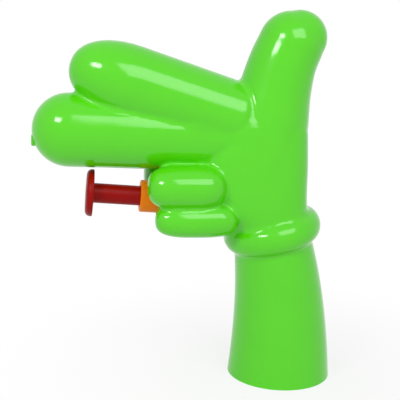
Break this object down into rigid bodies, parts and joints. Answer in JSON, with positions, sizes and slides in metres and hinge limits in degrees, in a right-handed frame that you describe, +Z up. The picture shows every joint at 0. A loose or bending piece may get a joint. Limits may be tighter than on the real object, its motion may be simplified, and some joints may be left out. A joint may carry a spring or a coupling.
{
  "type": "water squirter",
  "caption": "Hand-shaped water squirter in a pointing pose with a rolled cuff and flared handle; a sprung trigger plunger pumps water from the handle to a nozzle in a fingertip.",
  "frame": {"origin": "middle of the flat underside of the base cap, where the handle stands", "axes": "+Z up the handle to the thumb, -X the way the fingers and the jet point, -Y the side the palm faces"},
  "size_m": [0.1186, 0.0408, 0.1437],
  "materials": {
    "green_plastic": "glossy bright green moulded plastic",
    "red_plastic": "glossy deep red moulded plastic",
    "orange_plastic": "glossy orange moulded plastic",
    "white_plastic": "natural white moulded plastic",
    "clear_tube": "milky flexible tube",
    "rubber": "black moulded rubber",
    "steel": "bright steel"
  },
  "bodies": {
    "body": {"palm_side_shell": "green_plastic", "knuckle_side_shell": "green_plastic", "base_cap": "green_plastic", "nozzle_tip": "green_plastic", "pump_barrel": "orange_plastic", "rod_guide": "orange_plastic", "barrel_gasket": "rubber", "return_spring": "steel", "valve_block": "white_plastic", "outlet_fitting": "white_plastic", "inlet_fitting": "white_plastic", "dip_tube": "clear_tube", "outlet_tube": "clear_tube"},
    "trigger": {"trigger_plunger": "red_plastic", "piston_seal": "rubber"},
    "filler_plug": {"filler_plug": "white_plastic"},
    "inlet_ball": {"inlet_ball": "steel"},
    "outlet_ball": {"outlet_ball": "steel"}
  },
  "joints": [
    {"name": "trigger_slide", "type": "slide", "parent": "body", "child": "trigger", "axis": [0.9981, 0, -0.061], "range_m": [0, 0.015], "stiffness_N_per_m": 250, "springref_m": -0.004, "deforming": ["return_spring"]},
    {"name": "filler_plug_pull", "type": "slide", "parent": "body", "child": "filler_plug", "axis": [0, 0, -1], "range_m": [0, 0.012]},
    {"name": "inlet_ball_lift", "type": "slide", "parent": "body", "child": "inlet_ball", "axis": [0.061, 0, 0.9981], "range_m": [0, 0.001]},
    {"name": "outlet_ball_lift", "type": "slide", "parent": "body", "child": "outlet_ball", "axis": [0.061, 0, 0.9981], "range_m": [0, 0.001]}
  ]
}
